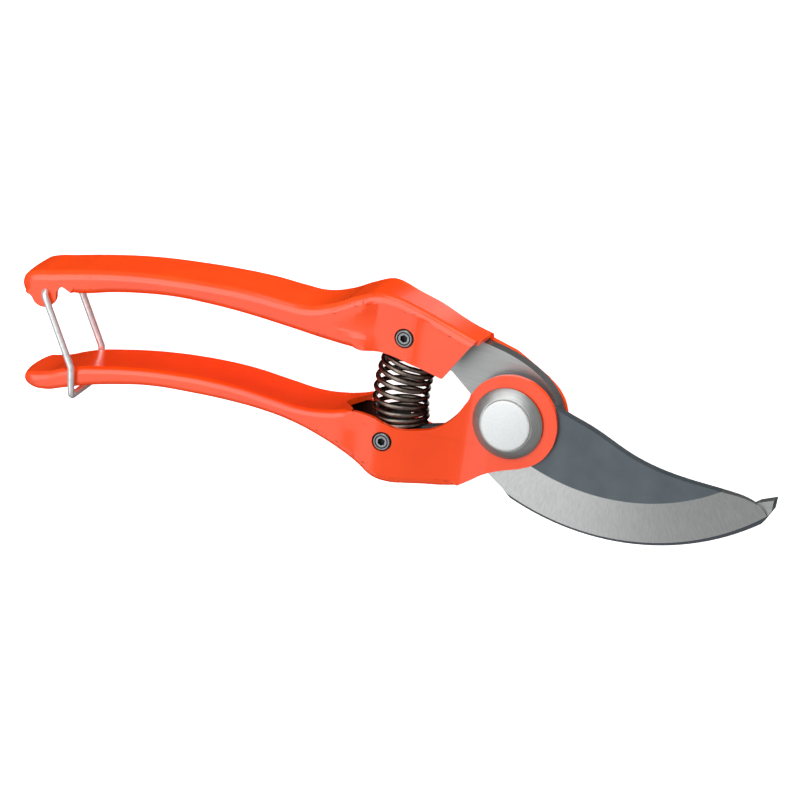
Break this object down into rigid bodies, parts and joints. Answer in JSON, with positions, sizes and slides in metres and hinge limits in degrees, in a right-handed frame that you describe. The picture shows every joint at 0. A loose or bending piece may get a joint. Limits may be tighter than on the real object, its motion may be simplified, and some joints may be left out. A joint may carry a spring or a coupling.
{
  "type": "pruning shears",
  "caption": "Bypass pruning shears with pressed steel handles, hooked counter blade, coil spring and wire catch.",
  "frame": {"origin": "pivot axis at the back face of the pivot nut, in the back plane of the handles", "axes": "+X along the tool to the blade's tip, +Y to the upper (hook side) handle, +Z out of the front face"},
  "size_m": [0.2297, 0.0589, 0.0264],
  "materials": {
    "handle_coating": "glossy powder coat on pressed steel",
    "hook_steel": "ground carbon steel",
    "blade_steel": "ground and polished blade steel",
    "bolt_steel": "bead blasted bright steel",
    "washer_steel": "turned steel",
    "zinc_steel": "zinc plated steel",
    "screw_steel": "phosphated steel",
    "spring_steel": "oil tempered spring wire",
    "catch_wire": "drawn galvanised wire"
  },
  "bodies": {
    "hook_side": {"upper_handle": "handle_coating", "hook_blade": "hook_steel", "hook_screw": "screw_steel", "hook_screw_spacer": "zinc_steel", "hook_screw_nut": "zinc_steel"},
    "blade_side": {"lower_handle": "handle_coating", "cutting_blade": "blade_steel", "blade_screw": "screw_steel", "blade_screw_spacer": "zinc_steel", "blade_screw_nut": "zinc_steel", "pivot_bolt": "bolt_steel", "pivot_cone_washer": "washer_steel", "pivot_lock_washer": "washer_steel", "pivot_nut": "zinc_steel", "coil_spring": "spring_steel"},
    "catch": {"wire_catch": "catch_wire"}
  },
  "joints": [
    {"name": "main_pivot", "type": "hinge", "parent": "hook_side", "child": "blade_side", "pos_m": [0, 0, 0.011], "axis": [0, 0, 1], "range_deg": [0, 28], "deforming": ["coil_spring"]},
    {"name": "catch_hinge", "type": "hinge", "parent": "hook_side", "child": "catch", "pos_m": [-0.1406, 0.007, 0.011], "axis": [0, 0, -1], "range_deg": [0, 200]}
  ]
}
